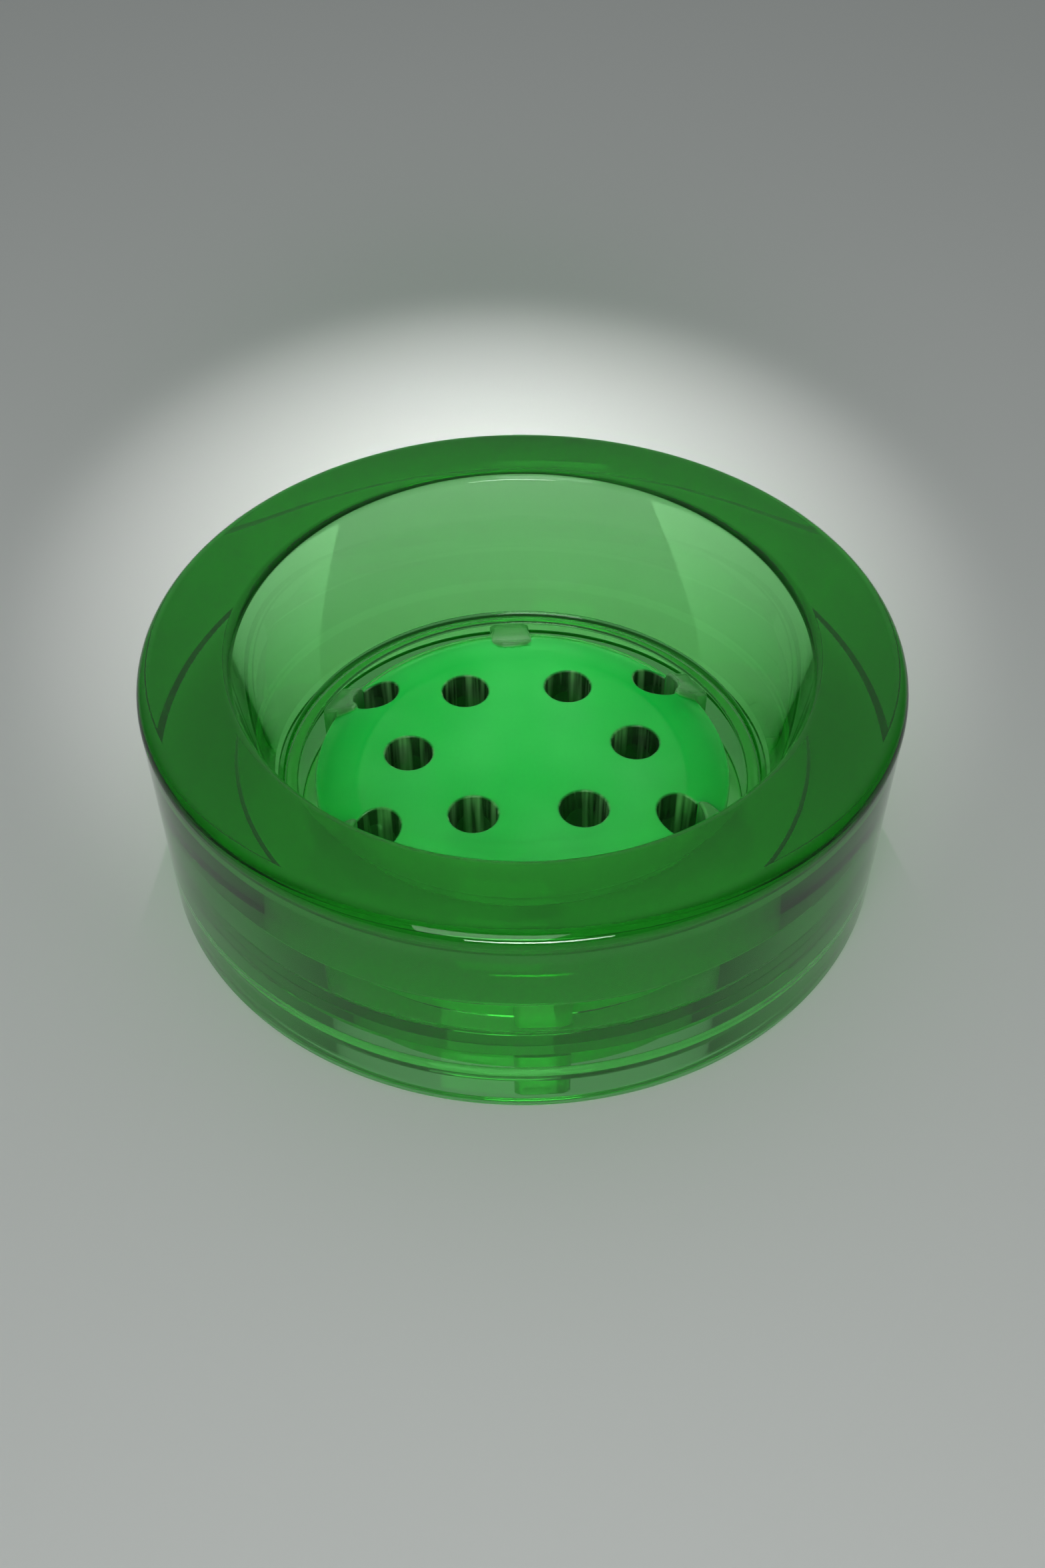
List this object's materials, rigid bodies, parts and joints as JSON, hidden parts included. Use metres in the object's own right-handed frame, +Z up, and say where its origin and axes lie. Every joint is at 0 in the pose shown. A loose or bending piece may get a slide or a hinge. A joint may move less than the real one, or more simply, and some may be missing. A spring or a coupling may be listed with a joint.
{
  "type": "glass bowl with perforated floor",
  "caption": "Heavy round green glass bowl with a flat polished rim and a lift-out crowned floor pierced by drain holes.",
  "frame": {"origin": "middle of the foot, on the surface the bowl stands on", "axes": "+Z up along the bowl's axis; the rows of drain holes run along X and one tab points along +Y"},
  "size_m": [0.084, 0.084, 0.0276],
  "materials": {
    "wall_glass": "polished green-tinted glass",
    "floor_glass": "polished vivid green glass",
    "tab_glass": "fire-polished green-tinted glass"
  },
  "bodies": {
    "bowl": {"bowl_wall": "wall_glass"},
    "floor": {"perforated_floor": "floor_glass", "floor_tab_1": "tab_glass", "floor_tab_2": "tab_glass", "floor_tab_3": "tab_glass", "floor_tab_4": "tab_glass", "floor_tab_5": "tab_glass", "floor_tab_6": "tab_glass"}
  },
  "joints": [
    {"name": "floor_lift", "type": "slide", "parent": "bowl", "child": "floor", "axis": [0, 0, 1], "range_m": [0, 0.03]}
  ]
}
